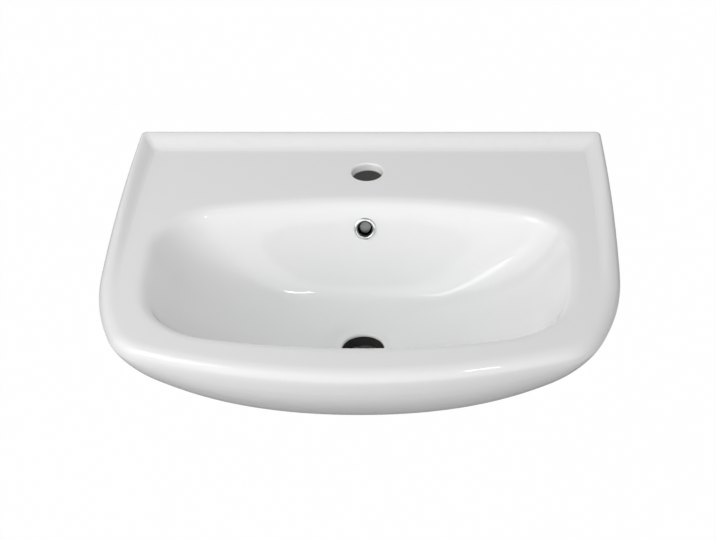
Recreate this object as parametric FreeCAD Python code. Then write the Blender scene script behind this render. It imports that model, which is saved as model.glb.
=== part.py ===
import FreeCAD, Part
import math
import os
from FreeCAD import Vector

# Wall hung basin. X runs along the wall, Y points into the wall, Z is up, millimetres.
# The origin is on the wall plane, midway between the two wall fixings.

# Overall sizes
overall_width = 550.0          # across the widest part of the rim
projection = 440.0             # wall to the front edge
deck_height = 80.0             # flat deck above the wall fixings
waste_depth = 176.0            # deck down to the bottom of the waste boss

# Plan outline of the rim, a D with a flat back
front_sweep_radius = 640.0     # the long front curve
front_corner_radius = 60.0     # front curve into the side curve
side_sweep_radius = 280.0      # sides, forward of the widest point
widest_from_wall = 259.0       # where the rim is widest
side_taper = 0.045             # share of the width lost from the widest point to the wall
back_corner_radius = 5.0       # sides into the wall face
trim_stock = 1.5               # clay that is ground off to make the flat wall face

# Rim, deck and the raised ridge along the wall and sides
ridge_height = 11.0            # ridge above the deck at the wall
ridge_reach = 300.0            # where the side ridges have run down to the deck
ridge_foot_back = 28.0         # foot of the ridge from the wall
ridge_foot_side = 21.0         # foot of the ridge from the side edge
ridge_foot_softness = 4.0      # the foot starts to rise this far ahead
ridge_edge_radius = 7.0        # outer rounding on the crest
front_edge_radius = 13.5       # outer rounding on the front rim
apron_height = 25.0            # deck to the foot of the upright band, front middle and wall
corner_apron_height = 6.0      # the same at the front corners, where the band runs out
upright_reach = 282.0          # the band has run out this far from the middle
upright_power = 3.7            # how late it runs out

# Bowl
bowl_half_width = 219.0        # middle to the side wall at the lip
bowl_back = 132.0              # wall plane to the bowl's rear wall at the lip
bowl_front = 384.5             # wall plane to the bowl's front wall at the lip
bowl_front_sweep = 750.0       # front wall, seen from above
bowl_front_corner = 77.0       # front wall into the side curve
bowl_side_sweep = 336.0        # side walls, forward of the widest point
bowl_widest = 249.0            # wall plane to where the bowl is widest
bowl_back_corner = 48.0        # rear wall into the side walls
bowl_back_bow = 33.0           # rear wall bows forward this much toward its corners
lip_radius = 16.0              # rounding from the deck into the bowl
bowl_depth = 115.0             # deck down to the floor beside the waste seat
rear_wall_angle = 71.0         # rear wall from the horizontal
rear_wall_depth = 94.0         # deck down to where its bend into the floor starts

# Waste seat and bore
waste_from_wall = 238.0        # wall plane to the waste axis
waste_bore_radius = 23.0       # takes a 1 1/4 inch basin waste
waste_bore_lip = 2.5           # rounding at the mouth of the bore
waste_seat_radius = 30.0       # flat seat round the bore
waste_seat_depth = 3.0         # seat below the floor
waste_recess_radius = 38.0     # where the recess meets the floor
boss_radius = 34.0             # outside of the waste boss
boss_foot_radius = 7.0         # boss into the underside
boss_edge_radius = 3.0         # lower edge of the boss

# Tap hole
tap_hole_radius = 17.5
tap_hole_from_wall = 69.7
tap_hole_lip = 2.0

# Walls of the hollow casting
shell_thickness = 9.5          # bowl and outer skin
deck_thickness = 10.0
wall_plate_thickness = 13.0    # rear plate that bears on the wall
underside_depth = 130.0        # deck down to the underside round the boss
wall_drop = 30.0               # the skirt hangs this much lower at the wall
wall_drop_reach = 190.0        # where the lower skirt has run out
keel_half_width = 85.0         # flat strip from the boss back to the wall
keel_front_sweep = 150.0       # strip's front, seen from above
keel_corner = 50.0
keel_side_sweep = 220.0
keel_widest = 200.0
keel_margin = 4.0              # strip's front edge ahead of the boss
opening_half_width = 172.0     # opening under the rear, middle to each end
opening_back = 21.0            # wall plane to the opening, leaves a lip along the plate
opening_top = 70.0             # opening's sides start this far below the deck
opening_corner = 22.0

# Overflow
overflow_depth = 30.0          # deck down to the overflow hole's middle
overflow_hole_radius = 9.5
overflow_duct_width = 28.0
overflow_duct_gap = 9.0        # clear depth of the duct
overflow_skin = 7.0            # bowl wall between the bowl and the duct
overflow_cover = 7.0           # clay behind the duct
overflow_duct_top = 13.0       # deck down to the top of the duct
overflow_duct_floor = 147.0    # deck down to the floor of the duct, at the waste
overflow_duct_mouth = 13.0     # height of the duct where it enters the waste bore
overflow_duct_turn = 112.0     # deck down to where the duct turns forward
overflow_rib_edge = 5.0        # rounding along the rib
overflow_ring_radius = 12.5
overflow_ring_rise = 2.2       # dome of the ring above its seat
overflow_ring_lift = 0.2       # the flange clears the bow of the bowl wall
overflow_ring_mouth = 8.0      # opening at the face
overflow_ring_throat = 5.9     # opening at the far end
overflow_sleeve_radius = 9.2
overflow_sleeve_length = 13.0
overflow_sleeve_slot = 1.6     # slots that let the sleeve spring
overflow_sleeve_slot_start = 5.0
overflow_barb = 0.6            # snap ridge behind the bowl wall
overflow_barb_length = 2.4

# Wall fixings
fixing_spacing = 280.0         # between the two fixings
fixing_hole_radius = 8.0
bolt_radius = 5.0
bolt_thread_depth = 0.6
bolt_thread_pitch = 1.5
screw_thread_depth = 1.4
screw_thread_pitch = 4.5
screw_tip_length = 8.0
bolt_in_wall = 68.0
bolt_in_room = 52.0            # wall plane to the free end
bolt_plain_length = 10.0       # plain shank each side of the wall plane
plug_radius = 7.0
plug_length = 70.0
plug_rib_height = 0.7
plug_rib_pitch = 6.0
plug_slot_width = 1.4
plug_slot_start = 18.0         # slots run from here to the far end
thread_clearance = 0.1
bush_clearance = 0.3           # bush in the clay
bush_bolt_clearance = 0.4      # bolt in the bush
bush_flange_radius = 14.0
bush_flange_thickness = 3.0
bush_sleeve_length = 11.0
washer_radius = 12.0
washer_thickness = 2.0
nut_across_flats = 17.0
nut_thickness = 8.0
nut_chamfer = 1.0

# Steps between the control points of the smooth skins
back_steps = 9
back_corner_steps = 6
side_steps = 6
side_sweep_steps = 7
front_corner_steps = 7
front_steps = 10
wall_levels = 12
underside_levels = 11
rounding_steps = 5
deck_steps = 4
ridge_steps = 4

# Bulge of the skins: higher powers are fuller
bowl_depth_power = 1.8
bowl_run_power = 1.3
bowl_round_power = 30.0        # how late the bowl's sections turn round
apron_depth_power = 1.8        # underside below the upright band
corner_depth_power = 1.1       # underside below the front corners
underside_run_power = 1.4

# Worked out from the sizes above
half_width = overall_width / 2
rim_radii = (back_corner_radius, side_sweep_radius, front_corner_radius, front_sweep_radius)
bowl_radii = (bowl_back_corner, bowl_side_sweep, bowl_front_corner, bowl_front_sweep)
keel_radii = (back_corner_radius, keel_side_sweep, keel_corner, keel_front_sweep)
rear_slope = 1 / math.tan(math.radians(rear_wall_angle))
lip_drop = lip_radius * (1 - math.cos(math.radians(rear_wall_angle)))
overflow_y = -(bowl_back + (overflow_depth - lip_drop) * rear_slope)
overflow_normal = Vector(0, -math.sin(math.radians(rear_wall_angle)),
                         math.cos(math.radians(rear_wall_angle)))


def smooth(value):
    """Runs from 0 to 1 with level ends."""
    value = min(max(value, 0.0), 1.0)
    return value * value * (3 - 2 * value)


def blend(first, second, share):
    return [a + (b - a) * share for a, b in zip(first, second)]


# ---- plan outlines, as closed rings of control points ----

def mirrored(half):
    """A ring from its right half, which runs from the back middle to the front middle."""
    return half + [(-x, y) for x, y in reversed(half[1:-1])]


def arc_points(x, y, radius, start, end, steps):
    """Points along an arc, leaving out its last."""
    angles = [start + (end - start) * i / steps for i in range(steps)]
    return [(x + radius * math.cos(angle), y + radius * math.sin(angle)) for angle in angles]


def d_ring(width, front, back, widest, radii, rear_bow=0.0):
    """Rounded D: flat back, straight sides, then side curve, corner and front curve in tangent arcs."""
    rear, side, corner, sweep = radii
    rear_x, rear_y = width - rear, -back - rear
    side_x, side_y, sweep_y = width - side, -widest, sweep - front
    gap = math.hypot(side_x, sweep_y - side_y)
    toward = ((side - corner) ** 2 - (sweep - corner) ** 2 + gap ** 2) / (2 * gap)
    across = math.sqrt((side - corner) ** 2 - toward ** 2)
    unit_x, unit_y = -side_x / gap, (sweep_y - side_y) / gap
    corner_x = side_x + toward * unit_x + across * unit_y
    corner_y = side_y + toward * unit_y - across * unit_x
    first_turn = math.atan2(corner_y - side_y, corner_x - side_x)
    last_turn = math.atan2(corner_y - sweep_y, corner_x)
    half = [(rear_x * i / back_steps, -back) for i in range(back_steps)]
    half += arc_points(rear_x, rear_y, rear, math.pi / 2, 0.0, back_corner_steps)
    half += [(width, rear_y + (side_y - rear_y) * i / side_steps) for i in range(side_steps)]
    half += arc_points(side_x, side_y, side, 0.0, first_turn, side_sweep_steps)
    half += arc_points(corner_x, corner_y, corner, first_turn, last_turn, front_corner_steps)
    half += arc_points(0.0, sweep_y, sweep, last_turn, -math.pi / 2, front_steps)
    half.append((0.0, -front))
    bowed = [(x, y - rear_bow * (x / width) ** 2 * smooth((y + front) / (front - back)))
             for x, y in half]
    return mirrored(bowed)


def inset_radii(radii, inset):
    """The same curves, drawn further in. The rear corner keeps its radius."""
    return radii[:1] + tuple(radius - inset for radius in radii[1:])


def tapered(ring):
    """Narrows a ring toward the wall."""
    def share(y):
        return 1 - side_taper * (max(y + widest_from_wall, 0.0) / widest_from_wall) ** 2
    return [(x * share(y), y) for x, y in ring]


def circle_ring(radius, like):
    """A circle round the waste axis with its points in the directions of another ring's."""
    ring = []
    for x, y in like:
        reach = math.hypot(x, y + waste_from_wall)
        ring.append((radius * x / reach, radius * (y + waste_from_wall) / reach - waste_from_wall))
    return ring


def at_depth(ring, depth):
    return [Vector(x, y, deck_height - depth) for x, y in ring]


def rim_ring(inset=0.0, back=-trim_stock):
    return tapered(d_ring(half_width - inset, projection - inset, back, widest_from_wall,
                          inset_radii(rim_radii, inset)))


def foot_ring(ahead=0.0):
    """Foot of the ridge, and the same line carried round under the front rim."""
    return rim_ring(ridge_foot_side + ahead, ridge_foot_back + ahead)


def lip_ring(outset):
    """The bowl's wall line at the lip, moved outward."""
    radii = (bowl_back_corner + outset,) + inset_radii(bowl_radii, -outset)[1:]
    return d_ring(bowl_half_width + outset, bowl_front + outset, bowl_back - outset, bowl_widest,
                  radii, bowl_back_bow)


# ---- smooth skins ----

def skin_solid(groups):
    """One smooth surface through stacked rings, in a face per group and half, capped flat."""
    rings = [turned_to_side(ring) for group in groups for ring in group]
    around, along = len(rings[0]), len(rings)
    poles = [[ring[i] for ring in rings] for i in range(around)]
    surface = Part.BSplineSurface()
    surface.buildFromPolesMultsKnots(poles, [1] * (around + 1), [4] + [1] * (along - 4) + [4],
                                     list(range(around + 1)), list(range(along - 2)), True, False, 3, 3)
    counts = [len(group) for group in groups]
    bands = [0] + [sum(counts[:i]) - 1 for i in range(1, len(groups))] + [along - 3]
    halves = ((0, around // 2), (around // 2, around))
    faces = []
    for low, high in zip(bands, bands[1:]):
        for start, end in halves:
            patch = surface.copy()
            patch.segment(start, end, low, high)
            faces.append(patch.toShape())
    for end in (bands[0], bands[-1]):
        rim = surface.vIso(end)
        faces.append(Part.Face(Part.Wire([rim.toShape(*half) for half in halves])))
    shell = Part.makeShell(faces)
    shell.sewShape()
    solid = Part.Solid(shell)
    if solid.Volume < 0:
        solid.reverse()
    return solid


def turned_to_side(ring):
    """Starts a ring on the right side, so that no seam crosses the holes in the middle."""
    start = back_steps + back_corner_steps + side_steps
    return ring[start:] + ring[:start]


def bowl_reach(depth):
    """How far the bowl reaches from the waste axis at a depth: sideways, forward and back."""
    swept = (1 - (depth / bowl_depth) ** bowl_depth_power) ** (1 / bowl_run_power)
    bend = max(depth - rear_wall_depth, 0.0) / (bowl_depth - rear_wall_depth)
    wall = bowl_back + (depth - lip_drop) * rear_slope
    sides = (bowl_half_width, bowl_front - waste_from_wall, waste_from_wall - wall)
    return [waste_recess_radius + (side - waste_recess_radius) * share
            for side, share in zip(sides, (swept, swept, math.sqrt(1 - bend ** 2)))]


def bowl_rings(outset):
    """Rings of the bowl from beside the waste seat up to the lip."""
    lip = lip_ring(outset)
    seat = circle_ring(waste_recess_radius + outset, lip)
    full = [side + outset for side in
            (bowl_half_width, bowl_front - waste_from_wall, waste_from_wall - bowl_back)]
    rings = []
    for level in range(1, wall_levels):
        angle = math.pi / 2 * (1 - level / wall_levels)
        depth = bowl_depth * math.sin(angle) ** (2 / bowl_depth_power)
        if depth > lip_radius:
            share = (depth / bowl_depth) ** bowl_round_power
            across, front, back = [(reach + outset) / side for reach, side in zip(bowl_reach(depth), full)]
            height = deck_height - depth - outset * (depth / bowl_depth) ** 2
            points = []
            for near, (x, y) in zip(seat, lip):
                ahead = (y + waste_from_wall) * (back if y > -waste_from_wall else front)
                x, y = blend((x * across, ahead - waste_from_wall), near, share)
                points.append(Vector(x, y, height))
            rings.append(points)
    return rings


def seat_rings():
    lip = lip_ring(0.0)
    floor = bowl_depth + waste_seat_depth
    profile = [(waste_bore_radius / 2, floor), ((waste_bore_radius + waste_seat_radius) / 2, floor),
               (waste_seat_radius, floor),
               ((waste_seat_radius + waste_recess_radius) / 2, bowl_depth + waste_seat_depth / 2),
               (waste_recess_radius, bowl_depth)]
    return [at_depth(circle_ring(radius, lip), depth) for radius, depth in profile]


def lip_rings():
    rings = []
    reach = math.sin(math.radians(rear_wall_angle))
    for i in range(rounding_steps + 1):
        angle = math.radians(rear_wall_angle) * (1 - i / rounding_steps)
        outset = lip_radius * (reach - math.sin(angle))
        rings.append(at_depth(lip_ring(outset), lip_radius * (1 - math.cos(angle))))
    return rings


def crest_height(y):
    return ridge_height * min(max(1 + y / ridge_reach, 0.0), 1.0)


def deck_rings():
    """Across the flat deck, from the lip to just ahead of the ridge's foot."""
    lip, foot = lip_ring(lip_radius), foot_ring(ridge_foot_softness)
    rings = []
    for i in range(1, deck_steps):
        share = i / (deck_steps - 1)
        rings.append(at_depth([blend(near, far, share) for near, far in zip(lip, foot)], 0.0))
    return rings


def ridge_rings():
    """From the foot of the ridge over its crest to the upright outer band."""
    rim, foot = rim_ring(), foot_ring()
    rows = []
    for outer, inner in zip(rim, foot):
        reach = math.hypot(inner[0] - outer[0], inner[1] - outer[1])
        height = crest_height(outer[1])
        radius = front_edge_radius + (ridge_edge_radius - front_edge_radius) * height / ridge_height
        row = []
        for i in range(ridge_steps + 1):
            share = i / ridge_steps
            inset = reach + (radius - reach) * share
            row.append((blend(outer, inner, inset / reach), height * smooth(share)))
        for i in range(1, rounding_steps + 1):
            angle = math.pi / 2 * i / rounding_steps
            inset = radius * (1 - math.sin(angle))
            row.append((blend(outer, inner, inset / reach), height - radius * (1 - math.cos(angle))))
        rows.append([Vector(x, y, deck_height + z) for (x, y), z in row])
    return [[row[i] for row in rows] for i in range(len(rows[0]))]


def upright_share(x, y):
    """1 at the front middle and at the wall, falling to 0 at the front corners."""
    front = max(1 - (abs(x) / upright_reach) ** upright_power, 0.0)
    wall = smooth(1 + y / widest_from_wall)
    return 1 - (1 - front) * (1 - wall)


def underside_rings(inset, back):
    """From the apron down to the keel strip. An inset gives the inside of the wall."""
    rim = rim_ring(inset, back)
    keel_front = waste_from_wall + boss_radius + boss_foot_radius + keel_margin
    keel = tapered(d_ring(keel_half_width - inset, keel_front - inset, back, keel_widest,
                          inset_radii(keel_radii, inset)))
    rings = []
    for level in range(underside_levels + 1):
        angle = math.pi / 2 * level / underside_levels
        run = max(math.cos(angle), 0.0) ** (2 / underside_run_power)
        points = []
        for near, far in zip(keel, rim):
            upright = upright_share(*far)
            power = corner_depth_power + (apron_depth_power - corner_depth_power) * upright
            share = math.sin(angle) ** (2 / power)
            apron = corner_apron_height + (apron_height - corner_apron_height) * upright
            depth = apron + (underside_depth - inset - apron) * share
            x, y = blend(near, far, run)
            drop = wall_drop * smooth((y + wall_drop_reach) / wall_drop_reach) * share
            points.append(Vector(x, y, deck_height - depth - drop))
        rings.append(points)
    return rings


def boss_rings():
    rim = rim_ring()
    rings = []
    for i in range(rounding_steps + 1):
        angle = math.pi / 2 * i / rounding_steps
        radius = boss_radius + boss_foot_radius * (1 - math.sin(angle))
        rings.append((radius, underside_depth + boss_foot_radius * (1 - math.cos(angle))))
    rings.append((boss_radius, (underside_depth + waste_depth) / 2))
    for i in range(rounding_steps + 1):
        angle = math.pi / 2 * i / rounding_steps
        rings.append((boss_radius - boss_edge_radius * (1 - math.cos(angle)),
                      waste_depth - boss_edge_radius * (1 - math.sin(angle))))
    rings.append((waste_bore_radius / 2, waste_depth))
    return [at_depth(circle_ring(radius, rim), depth) for radius, depth in rings]


def outer_body():
    """The whole glazed skin: waste seat, bowl, lip, deck, ridge, apron, underside, boss."""
    return skin_solid([seat_rings(), bowl_rings(0.0), lip_rings(), deck_rings(), ridge_rings(),
                       underside_rings(0.0, -trim_stock), boss_rings()])


# ---- inside of the casting ----

def inner_skin():
    """Inside of the outer wall and the rear plate, flat under the deck."""
    rings = underside_rings(shell_thickness, wall_plate_thickness)
    top = [Vector(p.x, p.y, deck_height - deck_thickness) for p in rings[0]]
    near_top = [(a + b) * 0.5 for a, b in zip(top, rings[0])]
    lowest = [(p.x, p.y) for p in rings[-1]]
    floor = [at_depth(circle_ring(radius, lowest), underside_depth - shell_thickness)
             for radius in (boss_radius, waste_bore_radius)]
    return skin_solid([[top, near_top] + rings + floor])


def bowl_back_skin():
    """Outside of the bowl's own wall, carried up through the deck."""
    lip = lip_ring(shell_thickness)
    floor = [at_depth(circle_ring(radius, lip), bowl_depth + shell_thickness)
             for radius in (waste_bore_radius, waste_recess_radius)]
    top = [at_depth(lip, depth) for depth in (lip_drop, 0.0, -ridge_height)]
    return skin_solid([floor + bowl_rings(shell_thickness) + top])


def rear_wall_y(depth, outset):
    """Y of the bowl's rear wall at a depth, moved toward the wall."""
    return (outset / math.sin(math.radians(rear_wall_angle))
            - bowl_back - (depth - lip_drop) * rear_slope)


def side_profile(points, width):
    """Extrudes an outline of (y, depth) points evenly about the middle."""
    outline = [Vector(-width / 2, y, deck_height - depth) for y, depth in points]
    return Part.Face(Part.makePolygon(outline + outline[:1])).extrude(Vector(width, 0, 0))


def along(shape, axis):
    """The straight edges of a shape that run along an axis."""
    edges = []
    for edge in shape.Edges:
        first, last = edge.Vertexes[0].Point, edge.Vertexes[-1].Point
        if round(abs((last - first).normalize().dot(axis))) == 1:
            edges.append(edge)
    return edges


def rear_opening():
    """Clears the underside behind the bowl, for the fixings, tap tails and pipes."""
    bottom = waste_depth + wall_drop
    points = [(-opening_back, opening_top), (rear_wall_y(opening_top, 0.0), opening_top),
              (rear_wall_y(bottom, 0.0), bottom), (-opening_back, bottom)]
    block = side_profile(points, 2 * opening_half_width)
    return block.makeFillet(opening_corner, along(block, Vector(0, 0, 1)))


def overflow_rib():
    """Clay round the overflow duct, from the deck down to the waste boss."""
    outset = overflow_skin + overflow_duct_gap + overflow_cover
    bottom = overflow_duct_floor + overflow_cover
    turn = overflow_duct_turn + overflow_cover
    inner = overflow_skin / 2
    points = [(rear_wall_y(overflow_cover, inner), overflow_cover),
              (rear_wall_y(overflow_cover, outset), overflow_cover),
              (rear_wall_y(turn, outset), turn),
              (rear_wall_y(bottom, outset) - overflow_duct_gap, bottom),
              (-waste_from_wall, bottom),
              (-waste_from_wall, bowl_depth + overflow_skin),
              (rear_wall_y(rear_wall_depth, 0.0) - overflow_duct_gap, bowl_depth + overflow_skin / 2),
              (rear_wall_y(rear_wall_depth, inner), rear_wall_depth)]
    rib = side_profile(points, overflow_duct_width + 2 * overflow_cover)
    outer = [edge for edge in rib.Edges if on_back_of_rib(edge, outset, bottom)]
    return rib.makeFillet(overflow_rib_edge, outer)


def on_back_of_rib(edge, outset, bottom):
    """True for the rib's long edges that face the room behind the bowl."""
    middle = (edge.Vertexes[0].Point + edge.Vertexes[-1].Point) * 0.5
    depth = deck_height - middle.z
    behind = middle.y > rear_wall_y(depth, outset) - overflow_duct_gap
    under = abs(depth - bottom) < overflow_cover
    return abs(middle.x) > overflow_duct_width / 2 and depth > 2 * overflow_cover and (behind or under)


def overflow_duct():
    """Clear way from behind the overflow hole down into the waste bore."""
    near, far = overflow_skin, overflow_skin + overflow_duct_gap
    roof = overflow_duct_floor - overflow_duct_mouth
    points = [(rear_wall_y(overflow_duct_top, near), overflow_duct_top),
              (rear_wall_y(overflow_duct_top, far), overflow_duct_top),
              (rear_wall_y(overflow_duct_turn, far), overflow_duct_turn),
              (rear_wall_y(overflow_duct_floor, far) - overflow_duct_gap, overflow_duct_floor),
              (-waste_from_wall, overflow_duct_floor), (-waste_from_wall, roof),
              (rear_wall_y(roof, near) - overflow_duct_gap, roof),
              (rear_wall_y(rear_wall_depth, near), rear_wall_depth)]
    return side_profile(points, overflow_duct_width)


# ---- turned shapes ----

def turned(profile, base, axis):
    """Turns an outline of (radius, height) points round an axis through the base."""
    outline = [Vector(radius, 0, height) for radius, height in profile]
    face = Part.Face(Part.makePolygon(outline + outline[:1]))
    solid = face.revolve(Vector(0, 0, 0), Vector(0, 0, 1), 360)
    solid.Placement = FreeCAD.Placement(base, FreeCAD.Rotation(Vector(0, 0, 1), axis))
    return solid


def bored(radius, lip, top, bottom, base, axis):
    """A bore from top to bottom whose mouth at the top is rounded out by the lip."""
    profile = [(0, bottom), (radius, bottom)]
    for i in range(2 * rounding_steps + 1):
        angle = math.pi / 2 * i / (2 * rounding_steps)
        profile.append((radius + lip * (1 - math.cos(angle)), top - lip * (1 - math.sin(angle))))
    return turned(profile + [(radius + lip, top + lip), (0, top + lip)], base, axis)


def ridged(root, crest, start, end, pitch):
    """Outline points of a thread's ridges between two heights."""
    turns = max(int(abs(end - start) / pitch), 1)
    step = (end - start) / turns
    points = []
    for i in range(turns):
        points += [(root, start + i * step), (crest, start + (i + 0.5) * step)]
    return points + [(root, end)]


# ---- the basin ----

def fixing_places():
    return (("left", -fixing_spacing / 2), ("right", fixing_spacing / 2))


def basin():
    hollow = inner_skin().fuse(rear_opening()).cut(bowl_back_skin())
    clay = outer_body().cut(hollow).fuse(overflow_rib())
    ground = Part.makeBox(overall_width, 2 * trim_stock, waste_depth + ridge_height + wall_drop,
                          Vector(-half_width, 0, deck_height - waste_depth - wall_drop))
    up = Vector(0, 0, 1)
    overflow_base = Vector(0, overflow_y, deck_height - overflow_depth)
    cuts = [ground, overflow_duct(),
            bored(tap_hole_radius, tap_hole_lip, 0.0, -2 * deck_thickness,
                  Vector(0, -tap_hole_from_wall, deck_height), up),
            bored(waste_bore_radius, waste_bore_lip, 0.0, -waste_depth,
                  Vector(0, -waste_from_wall, deck_height - bowl_depth - waste_seat_depth), up),
            Part.makeCylinder(overflow_hole_radius, overflow_skin + overflow_duct_gap, overflow_base
                              - overflow_normal * (overflow_skin + overflow_duct_gap / 2),
                              overflow_normal)]
    for _, x in fixing_places():
        cuts.append(Part.makeCylinder(fixing_hole_radius, 2 * wall_plate_thickness,
                                      Vector(x, trim_stock, 0), Vector(0, -1, 0)))
    return clay.cut(cuts)


# ---- fittings ----

def overflow_ring():
    """Chromed trim ring: a domed flange and a sprung sleeve that snaps behind the bowl wall."""
    mouth, throat, end = overflow_ring_mouth, overflow_ring_throat, -overflow_sleeve_length
    profile = [(throat, end), (overflow_sleeve_radius, end)]
    barb = overflow_sleeve_radius + overflow_barb
    snap = -overflow_skin - overflow_barb
    profile += [(overflow_sleeve_radius, snap - overflow_barb_length), (barb, snap - overflow_barb),
                (barb, snap), (overflow_sleeve_radius, snap), (overflow_sleeve_radius, 0.0)]
    crown = (overflow_ring_radius - mouth) / 2
    for i in range(2 * rounding_steps + 1):
        angle = math.pi * i / (2 * rounding_steps)
        profile.append((mouth + crown + crown * math.cos(angle),
                        overflow_ring_rise * math.sin(angle)))
    base = Vector(0, overflow_y, deck_height - overflow_depth) + overflow_normal * overflow_ring_lift
    ring = turned(profile, base, overflow_normal)
    corner = Vector(-overflow_sleeve_slot / 2, -2 * overflow_sleeve_radius,
                    end - overflow_sleeve_slot_start)
    for turn in (45, 135):
        slot = Part.makeBox(overflow_sleeve_slot, 4 * overflow_sleeve_radius, overflow_sleeve_length, corner)
        slot.Placement = (FreeCAD.Placement(base, FreeCAD.Rotation(Vector(0, 0, 1), overflow_normal))
                          * FreeCAD.Placement(Vector(), FreeCAD.Rotation(Vector(0, 0, 1), turn)))
        ring = ring.cut(slot)
    return ring


def hanger_bolt(x):
    """Screw thread in the plug, plain shank at the wall, machine thread for the nut."""
    machine_root = bolt_radius - bolt_thread_depth
    screw_root = bolt_radius - screw_thread_depth
    profile = [(0, -bolt_in_wall)]
    profile += ridged(screw_root, bolt_radius, screw_tip_length - bolt_in_wall, -bolt_plain_length,
                      screw_thread_pitch)
    profile += [(bolt_radius, -bolt_plain_length), (bolt_radius, bolt_plain_length)]
    profile += ridged(machine_root, bolt_radius, bolt_plain_length, bolt_in_room - bolt_thread_pitch,
                      bolt_thread_pitch)
    profile += [(machine_root - bolt_thread_depth, bolt_in_room), (0, bolt_in_room)]
    return turned(profile, Vector(x, 0, 0), Vector(0, -1, 0))


def wall_plug(x):
    """Nylon plug in the wall, ribbed outside and split from its far end."""
    bore = bolt_radius + thread_clearance
    profile = [(bore, 0.0), (bore, -plug_length)]
    root = plug_radius - plug_rib_height
    profile.append((root, -plug_length))
    profile += ridged(root, plug_radius, -plug_length + plug_rib_height, -plug_slot_start, plug_rib_pitch)
    profile += [(plug_radius, -plug_slot_start), (plug_radius, 0.0)]
    plug = turned(profile, Vector(x, 0, 0), Vector(0, -1, 0))
    slot = Part.makeBox(4 * plug_radius, plug_length, plug_slot_width,
                        Vector(x - 2 * plug_radius, plug_slot_start, -plug_slot_width / 2))
    return plug.cut(slot)


def collar_bush(x):
    """Flanged sleeve that keeps the bolt off the clay."""
    outer = fixing_hole_radius - bush_clearance
    bore = bolt_radius + bush_bolt_clearance
    face = wall_plate_thickness
    profile = [(bore, face - bush_sleeve_length), (outer, face - bush_sleeve_length), (outer, face),
               (bush_flange_radius, face), (bush_flange_radius, face + bush_flange_thickness),
               (bore, face + bush_flange_thickness)]
    return turned(profile, Vector(x, 0, 0), Vector(0, -1, 0))


def washer(x):
    face = wall_plate_thickness + bush_flange_thickness
    bore = bolt_radius + bush_bolt_clearance
    profile = [(bore, face), (washer_radius, face), (washer_radius, face + washer_thickness),
               (bore, face + washer_thickness)]
    return turned(profile, Vector(x, 0, 0), Vector(0, -1, 0))


def nut(x):
    """Hexagon nut with its corners turned off at both faces."""
    face = wall_plate_thickness + bush_flange_thickness + washer_thickness
    bore = bolt_radius + thread_clearance
    inner = nut_across_flats / 2
    outer = inner / math.cos(math.pi / 6)
    corners = [Vector(outer * math.cos(math.pi / 3 * i), 0, outer * math.sin(math.pi / 3 * i))
               for i in range(6)]
    hexagon = Part.Face(Part.makePolygon(corners + corners[:1])).extrude(Vector(0, -nut_thickness, 0))
    hexagon.translate(Vector(x, -face, 0))
    chamfer = [(bore, face), (inner, face), (outer, face + nut_chamfer / 2),
               (outer, face + nut_thickness - nut_chamfer / 2), (inner, face + nut_thickness),
               (bore, face + nut_thickness)]
    return hexagon.common(turned(chamfer, Vector(x, 0, 0), Vector(0, -1, 0)))


# ---- the sub-parts, one file each ----

os.makedirs("parts", exist_ok=True)
nodes = {"basin": basin(), "overflow_ring": overflow_ring()}
for side, place in fixing_places():
    nodes["hanger_bolt_" + side] = hanger_bolt(place)
    nodes["wall_plug_" + side] = wall_plug(place)
    nodes["collar_bush_" + side] = collar_bush(place)
    nodes["washer_" + side] = washer(place)
    nodes["nut_" + side] = nut(place)
for name, shape in nodes.items():
    print(name, shape.isValid(), len(shape.Solids), round(shape.Volume / 1000, 2), "cm3")
    shape.exportStep("parts/" + name + ".step")
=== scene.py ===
import bpy, bmesh, math
from mathutils import Matrix, Vector


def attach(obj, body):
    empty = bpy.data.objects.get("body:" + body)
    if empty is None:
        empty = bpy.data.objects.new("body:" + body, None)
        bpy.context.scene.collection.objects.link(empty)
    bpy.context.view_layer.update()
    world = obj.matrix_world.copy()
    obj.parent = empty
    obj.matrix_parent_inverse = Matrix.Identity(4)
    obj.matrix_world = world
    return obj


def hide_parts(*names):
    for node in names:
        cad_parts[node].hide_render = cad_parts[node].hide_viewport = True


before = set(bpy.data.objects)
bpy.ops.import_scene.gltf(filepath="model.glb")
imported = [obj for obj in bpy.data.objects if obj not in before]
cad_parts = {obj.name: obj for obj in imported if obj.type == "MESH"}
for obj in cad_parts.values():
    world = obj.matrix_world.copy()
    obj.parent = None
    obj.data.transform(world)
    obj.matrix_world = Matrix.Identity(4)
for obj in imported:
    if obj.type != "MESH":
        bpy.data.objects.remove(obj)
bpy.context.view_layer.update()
print("frame loaded:", len(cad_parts), "nodes")


# Camera, fitted to the photograph.
cameraPlan = {
    "azimuth": 4.201,       # degrees, round the basin
    "elevation": 35.568,    # degrees, above the horizon
    "roll": -2.255,         # degrees
    "distance": 2.501058,   # metres from the target
    "lens": 117.514,        # mm
    "sensor": 36.0,         # mm wide
    "target": (-0.002754, -0.23082, 0.060),
}


def addCamera(plan):
    turn, lift = math.radians(plan["azimuth"]), math.radians(plan["elevation"])
    back = Vector((math.sin(turn) * math.cos(lift), -math.cos(turn) * math.cos(lift),
                   math.sin(lift)))
    right = (-back).cross(Vector((0, 0, 1))).normalized()
    up = right.cross(-back)
    roll = math.radians(plan["roll"])
    rolledRight = right * math.cos(roll) + up * math.sin(roll)
    rolledUp = up * math.cos(roll) - right * math.sin(roll)
    camera = bpy.data.objects.new("camera", bpy.data.cameras.new("camera"))
    bpy.context.scene.collection.objects.link(camera)
    camera.matrix_world = (Matrix.Translation(Vector(plan["target"]) + back * plan["distance"])
                           @ Matrix((rolledRight, rolledUp, back)).transposed().to_4x4())
    camera.data.sensor_width = plan["sensor"]
    camera.data.lens = plan["lens"]
    bpy.context.scene.camera = camera


addCamera(cameraPlan)


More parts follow.
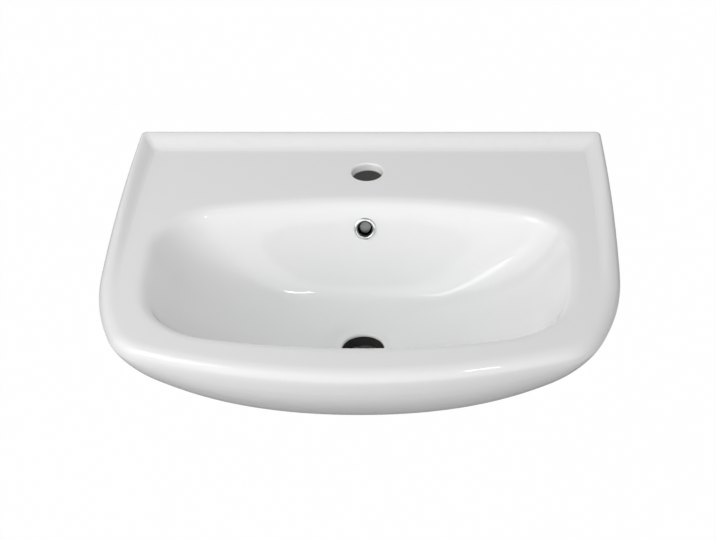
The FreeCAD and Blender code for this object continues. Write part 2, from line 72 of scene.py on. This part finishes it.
# Shader maths: a wrapped socket with Python's operators.
class Wire:
    def __init__(self, tree, socket):
        self.tree = tree
        self.socket = socket

    def maths(self, operation, *others):
        return self.tree.node("ShaderNodeMath", {"operation": operation}, [self, *others])

    def __add__(self, other): return self.maths("ADD", other)
    def __radd__(self, other): return self.maths("ADD", other)
    def __sub__(self, other): return self.maths("SUBTRACT", other)
    def __mul__(self, other): return self.maths("MULTIPLY", other)
    def __rmul__(self, other): return self.maths("MULTIPLY", other)
    def __pow__(self, other): return self.maths("POWER", other)
    def __gt__(self, other): return self.maths("GREATER_THAN", other)
    def __lt__(self, other): return self.maths("LESS_THAN", other)
    def absolute(self): return self.maths("ABSOLUTE")
    def highest(self, other): return self.maths("MAXIMUM", other)

    def __rsub__(self, other):
        return self.tree.node("ShaderNodeMath", {"operation": "SUBTRACT"}, [other, self])

    def ease(self, low, high, start=0.0, end=1.0):
        return self.tree.node("ShaderNodeMapRange", {"interpolation_type": "SMOOTHSTEP"},
                              {"Value": self, "From Min": low, "From Max": high,
                               "To Min": start, "To Max": end})


class Finish:
    def __init__(self, name):
        self.material = bpy.data.materials.new(name)
        self.material.use_nodes = True
        self.tree = self.material.node_tree
        self.tree.nodes.clear()

    def node(self, kind, settings=None, values=None, output=0):
        made = self.tree.nodes.new(kind)
        for key, value in (settings or {}).items():
            setattr(made, key, value)
        pairs = enumerate(values) if isinstance(values, list) else (values or {}).items()
        for key, value in pairs:
            socket = made.inputs[key]
            if isinstance(value, Wire):
                self.tree.links.new(value.socket, socket)
            else:
                socket.default_value = value
        return Wire(self, made.outputs[output])

    def place(self):
        self.spot = self.node("ShaderNodeTexCoord", output="Object")
        return self.split(self.spot)

    def split(self, vector):
        parts = self.tree.nodes.new("ShaderNodeSeparateXYZ")
        self.tree.links.new(vector.socket, parts.inputs[0])
        return [Wire(self, parts.outputs[i]) for i in range(3)]

    def noise(self, scale, detail, roughness, stretch=None):
        vector = self.spot
        if stretch:
            vector = self.node("ShaderNodeMapping", {}, {"Vector": self.spot, "Scale": stretch})
        return self.node("ShaderNodeTexNoise", {}, {"Vector": vector, "Scale": scale,
                                                    "Detail": detail, "Roughness": roughness},
                         "Fac")

    def colour(self, share, first, second):
        return self.node("ShaderNodeMix", {"data_type": "RGBA"}, {0: share, 6: first, 7: second}, 2)

    def bump(self, height, distance, strength):
        return self.node("ShaderNodeBump", {}, {"Height": height, "Distance": distance,
                                                "Strength": strength}, "Normal")

    def surface(self, constants, **varying):
        shader = self.tree.nodes.new("ShaderNodeBsdfPrincipled")
        for key, value in constants.items():
            shader.inputs[key].default_value = value
        for key, value in varying.items():
            self.tree.links.new(value.socket, shader.inputs[key.replace("_", " ")])
        output = self.tree.nodes.new("ShaderNodeOutputMaterial")
        self.tree.links.new(shader.outputs[0], output.inputs["Surface"])
        return self.material


# Glazed clay. Each noise is (scale, detail, roughness) and each stretch is x, y, z.
glazeLook = {
    "ior": 1.52,
    "glaze": (0.830, 0.832, 0.830, 1.0),
    "pooled": (0.800, 0.808, 0.812, 1.0),    # where the glaze lies thick
    "speck": (0.62, 0.58, 0.52, 1.0),
    "clay": (0.760, 0.715, 0.640, 1.0),      # bare fired clay on the ground faces
    "clayStreak": (0.83, 0.80, 0.74, 1.0),   # left by the grinding
    "raw": (0.350, 0.345, 0.330, 1.0),       # unglazed clay inside the hollow, painted dark grey as painted shade
    "bore": (0.024, 0.022, 0.020, 1.0),      # clay in the waste bore, painted near black as painted shade
    "roughness": (0.022, 0.048),
    "bareRoughness": (0.72, 0.9),
    "broadNoise": (7.0, 3.0, 0.5),
    "peelNoise": (140.0, 2.0, 0.4),
    "speckNoise": (900.0, 1.0, 0.5),
    "grindNoise": (60.0, 6.0, 0.65),
    "grindStretch": (1.0, 1.0, 14.0),
    "pooledTop": 0.02,                       # metres, glaze is thicker below
    "pooledFade": (-0.03, 0.09),
    "pooledPatches": (0.25, 0.75, 0.55, 1.0),
    "speckFade": (0.795, 0.83),
    "speckShare": 0.35,
    "orangePeel": 0.00003,                   # metres
    "bareRelief": 2.0,                       # against the orange peel's
    "bumpStrength": 0.6,
}

# Where the glaze stops, in metres.
glazeEdges = {
    "wallFace": -0.0006,        # ground flat behind this y
    "bossFoot": -0.0957,        # and below this z
    "rearWallSlope": 0.344,     # y per z along the bowl's rear wall
    "rearWallMiddle": -0.1508,  # y of the middle of that wall, carried down to z 0
    "ductFront": -0.1375,       # the same for the overflow duct
    "ductSide": 0.0143,
    "hollowBack": -0.0125,
    "hollowTop": 0.0705,
    "hollowSide": 0.1735,
    "wasteFromWall": 0.238,
    "boreRadius": 0.0236,
    "boreTop": -0.0415,
}


def makeGlaze(look, edges):
    finish = Finish("glazed clay")
    x, y, z = finish.place()
    broad = finish.noise(*look["broadNoise"])
    peel = finish.noise(*look["peelNoise"])
    speck = finish.noise(*look["speckNoise"])
    grind = finish.noise(*look["grindNoise"], look["grindStretch"])

    pooled = (look["pooledTop"] - z).ease(*look["pooledFade"]) * broad.ease(*look["pooledPatches"])
    glaze = finish.colour(pooled, look["glaze"], look["pooled"])
    glaze = finish.colour(speck.ease(*look["speckFade"]) * look["speckShare"], glaze, look["speck"])

    ground = (y > edges["wallFace"]).highest(z < edges["bossFoot"])
    rearWall = y - z * edges["rearWallSlope"]
    hollow = ((rearWall > edges["rearWallMiddle"]) * (y < edges["hollowBack"])
              * (z < edges["hollowTop"]) * (x.absolute() < edges["hollowSide"]))
    duct = (x.absolute() < edges["ductSide"]) * (rearWall < edges["ductFront"])
    fromAxis = y + edges["wasteFromWall"]
    bore = ((x * x + fromAxis * fromAxis) ** 0.5 < edges["boreRadius"]) * (z < edges["boreTop"])
    inside = (hollow * (1 - duct)).highest(bore)
    bare = ground.highest(inside)

    bareTint = finish.colour(grind.ease(0.3, 0.7), look["clay"], look["clayStreak"])
    # painted shade: the unglazed clay inside the hollow is painted dark grey
    bareTint = finish.colour(inside, bareTint, look["raw"])
    # painted shade: the waste bore is painted near black
    bareTint = finish.colour(bore, bareTint, look["bore"])
    rough = (broad.ease(0.3, 0.7, *look["roughness"]) * (1 - bare)
             + bare * grind.ease(0.2, 0.8, *look["bareRoughness"]))
    height = peel * (1 - bare) + bare * grind * look["bareRelief"]
    return finish.surface({"IOR": look["ior"]},
                          Base_Color=finish.colour(bare, glaze, bareTint), Roughness=rough,
                          Normal=finish.bump(height, look["orangePeel"], look["bumpStrength"]))


# Chrome of the overflow ring.
chromeLook = {
    "bright": (0.83, 0.84, 0.85, 1.0),
    "filmed": (0.74, 0.75, 0.765, 1.0),      # under a thin film of lime
    "throat": (0.20, 0.205, 0.21, 1.0),      # painted shade inside the sleeve
    "ringAxis": (-0.9455, 0.3256),           # y and z of the way out of the hole
    "throatFrom": 0.1475,                    # metres along the axis, at the seat
    "throatFade": 0.0012,                    # metres each side of it
    "filmNoise": (260.0, 3.0, 0.55),
    "hairNoise": (900.0, 2.0, 0.6),
    "hairStretch": (1.0, 1.0, 0.08),
    "roughness": (0.035, 0.09),
    "hairRoughness": 0.05,
    "hairDepth": 0.000004,                   # metres
    "bumpStrength": 0.5,
}


def makeChrome(look):
    finish = Finish("chrome")
    x, y, z = finish.place()
    film = finish.noise(*look["filmNoise"])
    hairs = finish.noise(*look["hairNoise"], look["hairStretch"])
    outY, outZ = look["ringAxis"]
    # painted shade: the chrome is darkened inside the sleeve, past the seat
    throat = (z * outZ + y * outY - look["throatFrom"]).ease(look["throatFade"],
                                                             -look["throatFade"])
    base = finish.colour(film.ease(0.35, 0.75), look["bright"], look["filmed"])
    base = finish.colour(throat, base, look["throat"])
    rough = (film.ease(0.3, 0.7, *look["roughness"])
             + hairs.ease(0.55, 0.8) * look["hairRoughness"])
    return finish.surface({"Metallic": 1.0}, Base_Color=base, Roughness=rough,
                          Normal=finish.bump(hairs, look["hairDepth"], look["bumpStrength"]))


# Zinc plated steel of the bolts, washers and nuts.
zincLook = {
    "bright": (0.66, 0.67, 0.69, 1.0),
    "yellowed": (0.60, 0.58, 0.52, 1.0),
    "bloomNoise": (120.0, 4.0, 0.6),
    "grainNoise": (1500.0, 2.0, 0.6),
    "grainStretch": (1.0, 0.2, 1.0),
    "roughness": (0.28, 0.42),
    "grainRoughness": 0.08,
    "grainDepth": 0.00001,                   # metres
    "bumpStrength": 0.6,
}


def makeZinc(look):
    finish = Finish("zinc plated steel")
    finish.place()
    bloom = finish.noise(*look["bloomNoise"])
    grain = finish.noise(*look["grainNoise"], look["grainStretch"])
    base = finish.colour(bloom.ease(0.3, 0.7), look["bright"], look["yellowed"])
    rough = bloom.ease(0.3, 0.7, *look["roughness"]) + grain * look["grainRoughness"]
    return finish.surface({"Metallic": 1.0}, Base_Color=base, Roughness=rough,
                          Normal=finish.bump(grain, look["grainDepth"], look["bumpStrength"]))


# Nylon of the wall plugs (grey) and the collar bushes (white), as a light and a dark tint each.
nylonLook = {
    "grey nylon": [(0.20, 0.205, 0.21, 1.0), (0.17, 0.172, 0.178, 1.0)],
    "white nylon": [(0.78, 0.78, 0.76, 1.0), (0.74, 0.735, 0.71, 1.0)],
    "ior": 1.53,
    "cloudNoise": (90.0, 3.0, 0.5),
    "grainNoise": (2200.0, 2.0, 0.5),
    "roughness": (0.42, 0.55),
    "grainDepth": 0.00002,                   # metres
    "bumpStrength": 0.5,
}


def makeNylon(name, look):
    finish = Finish(name)
    finish.place()
    cloud = finish.noise(*look["cloudNoise"])
    grain = finish.noise(*look["grainNoise"])
    return finish.surface({"IOR": look["ior"]},
                          Base_Color=finish.colour(cloud.ease(0.3, 0.7), *look[name]),
                          Roughness=cloud.ease(0.3, 0.7, *look["roughness"]),
                          Normal=finish.bump(grain, look["grainDepth"], look["bumpStrength"]))


finishes = {
    "basin": makeGlaze(glazeLook, glazeEdges),
    "overflow_ring": makeChrome(chromeLook),
    "hanger_bolt": makeZinc(zincLook),
    "wall_plug": makeNylon("grey nylon", nylonLook),
    "collar_bush": makeNylon("white nylon", nylonLook),
}
finishes["washer"] = finishes["nut"] = finishes["hanger_bolt"]

for name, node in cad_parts.items():
    kind = name.replace("_left", "").replace("_right", "")
    for slot in node.material_slots:
        slot.material = finishes[kind]
print("finishes on the CAD nodes")


# Pieces turned in Blender.
turnedPlan = {
    "sharpAngle": 32,           # degrees, edges above it stay sharp
    "mergeWithin": 0.000002,    # metres
    "cutWithin": 0.0000001,     # metres
}


# Spins an open line of (radius, height) points round Z, climbing by a pitch in each turn.
def turnProfile(profile, steps, climb=0.0):
    shape = bmesh.new()
    line = [shape.verts.new((radius, 0, height)) for radius, height in profile]
    edges = [shape.edges.new(pair) for pair in zip(line, line[1:])]
    bmesh.ops.spin(shape, geom=line + edges, axis=(0, 0, 1), cent=(0, 0, 0), angle=2 * math.pi,
                   steps=steps, dvec=(0, 0, climb / steps), use_merge=climb == 0)
    bmesh.ops.remove_doubles(shape, verts=shape.verts, dist=turnedPlan["mergeWithin"])
    return shape


def finishPiece(shape, name, place, kind, node):
    bmesh.ops.transform(shape, matrix=place, verts=shape.verts)
    bmesh.ops.recalc_face_normals(shape, faces=shape.faces)
    mesh = bpy.data.meshes.new(name)
    shape.to_mesh(mesh)
    shape.free()
    mesh.shade_smooth()
    mesh.set_sharp_from_angle(angle=math.radians(turnedPlan["sharpAngle"]))
    mesh.materials.append(finishes[kind])
    piece = bpy.data.objects.new(name, mesh)
    bpy.context.scene.collection.objects.link(piece)
    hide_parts(node)
    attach(piece, "root")


# Overflow trim ring. Lengths in mm apart from the seat's place.
ringPlan = {
    "seat": (0.0, -0.138803, 0.050065),     # metres
    "wallAngle": 71.0,                      # degrees, lean of the bowl's rear wall
    "flange": [(9.2, 0.0), (12.25, 0.0), (12.45, 0.12), (12.5, 0.35), (12.42, 0.75),
               (12.1, 1.25), (11.6, 1.68), (10.95, 2.02), (10.3, 2.18), (9.75, 2.12),
               (9.3, 1.85), (9.0, 1.45), (8.85, 0.95), (8.72, 0.3), (8.35, -1.6),
               (7.8, -3.2), (7.1, -4.6), (6.5, -5.4), (6.2, -5.9), (6.0, -6.4),
               (5.9, -6.9), (5.9, -7.2), (9.2, -7.2), (9.2, 0.0)],
    "leg": [(5.9, -7.1), (9.2, -7.1), (9.2, -7.7), (9.8, -7.7), (9.8, -8.2), (9.2, -10.0),
            (9.2, -12.7), (8.9, -13.0), (6.2, -13.0), (5.9, -12.7)],
    "legs": 4,
    "sleeveRadius": 9.2,
    "slot": 1.6,                            # between two legs
    "firstSlot": 45.0,                      # degrees
    "steps": 96,
    "legSteps": 18,
}


def addRing(plan):
    ring = turnProfile([(r / 1000, h / 1000) for r, h in plan["flange"]], plan["steps"])
    pitch = 2 * math.pi / plan["legs"]
    gap = 2 * math.asin(plan["slot"] / 2 / plan["sleeveRadius"])
    for i in range(plan["legs"]):
        start = Matrix.Rotation(math.radians(plan["firstSlot"]) + gap / 2 + i * pitch, 4, "Z")
        corners = [ring.verts.new(start @ Vector((r / 1000, 0, h / 1000))) for r, h in plan["leg"]]
        side = ring.faces.new(corners)
        bmesh.ops.spin(ring, geom=corners + list(side.edges) + [side], axis=(0, 0, 1),
                       cent=(0, 0, 0), angle=pitch - gap, steps=plan["legSteps"])
    tilt = Matrix.Rotation(math.radians(plan["wallAngle"]), 4, "X")
    finishPiece(ring, "overflow_trim_ring", Matrix.Translation(plan["seat"]) @ tilt,
                "overflow_ring", "overflow_ring")


addRing(ringPlan)
print("overflow ring turned")


# Hanger bolts with helical threads. Lengths in metres, from the wall plane.
boltPlan = {
    "fromMiddle": 0.14,
    "radius": 0.005,
    "crestClearance": 0.00003,
    "plain": 0.010,                         # shank, each side of the wall plane
    "shankEdge": 0.0003,
    "overlap": 0.0004,                      # of a thread with the shank
    "room": 0.052,                          # tip of the machine thread
    "machinePitch": 0.0015,
    "machineRoot": 0.0044,
    "machineTooth": (0.0, 0.12, 0.5, 0.62),     # root, root, crest, crest, as shares of the pitch
    "tipChamfer": 0.0009,
    "tipSlope": (0.9, 0.0045),              # share of the radius lost over a length
    "wall": 0.068,                          # tip of the screw thread
    "screwPitch": 0.0045,
    "screwRoot": 0.0036,
    "screwTooth": (0.0, 0.55, 0.74, 0.80),
    "point": 0.010,                         # length of the tapered point
    "pointLoss": 0.86,                      # share of the radius lost there
    "steps": 32,
}


def cutEnds(shape, low, high):
    for height, side in ((low, -1), (high, 1)):
        everything = shape.verts[:] + shape.edges[:] + shape.faces[:]
        bmesh.ops.bisect_plane(shape, geom=everything, dist=turnedPlan["cutWithin"],
                               plane_co=(0, 0, height), plane_no=(0, 0, side), clear_outer=True)
    bmesh.ops.holes_fill(shape, edges=[edge for edge in shape.edges if edge.is_boundary], sides=0)


# A screwed length from low to high.
def threaded(pitch, root, crest, tooth, low, high, steps):
    turns = int((high - low) / pitch) + 3
    corners = list(zip((root, root, crest, crest), tooth))
    profile = [(radius, low + (i - 2 + share) * pitch)
               for i in range(turns + 1) for radius, share in corners]
    shape = turnProfile(profile, steps, pitch)
    cutEnds(shape, low, high)
    return shape


def addBolt(side, across, plan):
    crest, steps, plain, full = (plan["radius"] - plan["crestClearance"], plan["steps"],
                                 plan["plain"], plan["radius"])
    bolt = threaded(plan["machinePitch"], plan["machineRoot"], crest, plan["machineTooth"],
                    plain - plan["overlap"], plan["room"], steps)
    loss, length = plan["tipSlope"]
    for vertex in bolt.verts:
        past = max(vertex.co.z - (plan["room"] - plan["tipChamfer"]), 0.0)
        vertex.co.xy *= 1 - loss * past / length

    screw = threaded(plan["screwPitch"], plan["screwRoot"], crest, plan["screwTooth"],
                     -plan["wall"], plan["overlap"] - plain, steps)
    for vertex in screw.verts:
        past = max(-plan["wall"] + plan["point"] - vertex.co.z, 0.0) / plan["point"]
        vertex.co.xy *= 1 - plan["pointLoss"] * past

    edge = plan["shankEdge"]
    shank = turnProfile([(0, -plain), (full - edge, -plain), (full, edge - plain),
                         (full, plain - edge), (full - edge, plain), (0, plain)], steps)
    for extra in (screw, shank):
        part = bpy.data.meshes.new("length")
        extra.to_mesh(part)
        extra.free()
        bolt.from_mesh(part)
        bpy.data.meshes.remove(part)
    place = Matrix.Translation((across, 0, 0)) @ Matrix.Rotation(math.pi / 2, 4, "X")
    finishPiece(bolt, "threaded_bolt_" + side, place, "hanger_bolt",
                "hanger_bolt_" + side)


addBolt("left", -boltPlan["fromMiddle"], boltPlan)
addBolt("right", boltPlan["fromMiddle"], boltPlan)
print("hanger bolts threaded")


# Floor, world and lamps.
studioPlan = {
    "floorDrop": 0.62,          # metres below the origin
    "floorReach": 30.0,         # metres
    "floorTone": (0.42, 0.42, 0.42, 1.0),
    "floorWhite": 0.99,         # share of white that the camera sees
    "walls": {"front": 1.50, "back": 0.68, "right": 0.22},
    "lamps": [
        # name, place, aims at, width and height in metres, watts
        ("left", (-2.0, -0.6, 1.2), (0, -0.2, 0), 2.0, 1.9, 13.0),
        ("right", (2.0, -0.6, 1.2), (0, -0.2, 0), 1.6, 1.6, 1.0),
        ("front left", (-1.474, -1.351, 1.806), (0, -0.2, 0), 0.85, 1.15, 8.0),
        ("front left fill", (-1.5, -1.4, 1.9), (0, -0.2, 0), 2.4, 2.2, 10.5),
        ("front right", (0.79, -1.75, 1.93), (0, -0.2, 0), 0.26, 0.16, 2.6),
        ("overhead", (0.05, -0.35, 2.3), (0, -0.22, 0), 0.14, 0.10, 0.4),
    ],
}


def addLamp(name, place, aim, width, height, watts):
    data = bpy.data.lights.new(name, "AREA")
    data.shape = "RECTANGLE"
    data.size, data.size_y, data.energy = width, height, watts
    lamp = bpy.data.objects.new(name, data)
    bpy.context.scene.collection.objects.link(lamp)
    lamp.location = place
    lamp.rotation_euler = (Vector(aim) - Vector(place)).to_track_quat("-Z", "Y").to_euler()


# The camera sees a white floor, other rays a grey one, and it is clear from below.
def addFloor(plan):
    floorMesh = bmesh.new()
    bmesh.ops.create_grid(floorMesh, x_segments=1, y_segments=1, size=plan["floorReach"])
    bmesh.ops.translate(floorMesh, verts=floorMesh.verts, vec=(0, 0, -plan["floorDrop"]))
    mesh = bpy.data.meshes.new("floor")
    floorMesh.to_mesh(mesh)
    floorMesh.free()
    floor = bpy.data.objects.new("floor", mesh)
    bpy.context.scene.collection.objects.link(floor)
    finish = Finish("floor")
    rays = finish.tree.nodes.new("ShaderNodeLightPath")
    seen = Wire(finish, rays.outputs["Is Camera Ray"]).highest(
        Wire(finish, rays.outputs["Is Transmission Ray"]))
    under = finish.node("ShaderNodeNewGeometry", output="Backfacing")
    pale = finish.node("ShaderNodeBsdfDiffuse", {}, {"Color": plan["floorTone"]})
    white = finish.node("ShaderNodeEmission", {}, {"Color": (1, 1, 1, 1), "Strength": 1.0})
    clear = finish.node("ShaderNodeBsdfTransparent")
    lit = finish.node("ShaderNodeMixShader", {}, [seen * plan["floorWhite"], pale, white])
    both = finish.node("ShaderNodeMixShader", {}, [under, lit, clear])
    output = finish.tree.nodes.new("ShaderNodeOutputMaterial")
    finish.tree.links.new(both.socket, output.inputs["Surface"])
    mesh.materials.append(finish.material)


class Room(Finish):
    def __init__(self, name):
        world = bpy.data.worlds.new(name)
        bpy.context.scene.world = world
        world.use_nodes = True
        self.tree = world.node_tree
        self.tree.nodes.clear()


# Light from the walls of a room, which the camera sees as white.
def addWorld(walls):
    room = Room("studio")
    x, y, z = room.split(room.node("ShaderNodeTexCoord", output="Generated"))
    light = ((-1 * y).highest(0.0) * walls["front"] + y.highest(0.0) * walls["back"]
             + x.highest(0.0) * walls["right"])
    lit = room.node("ShaderNodeBackground", {}, {"Color": (1, 1, 1, 1), "Strength": light})
    seen = room.node("ShaderNodeBackground", {}, {"Color": (1, 1, 1, 1)})
    camera = room.node("ShaderNodeLightPath", output="Is Camera Ray")
    both = room.node("ShaderNodeMixShader", {}, [camera, lit, seen])
    output = room.tree.nodes.new("ShaderNodeOutputWorld")
    room.tree.links.new(both.socket, output.inputs["Surface"])


addFloor(studioPlan)
addWorld(studioPlan["walls"])
for lamp in studioPlan["lamps"]:
    addLamp(*lamp)
bpy.context.scene.view_settings.view_transform = "Standard"
print("studio built")
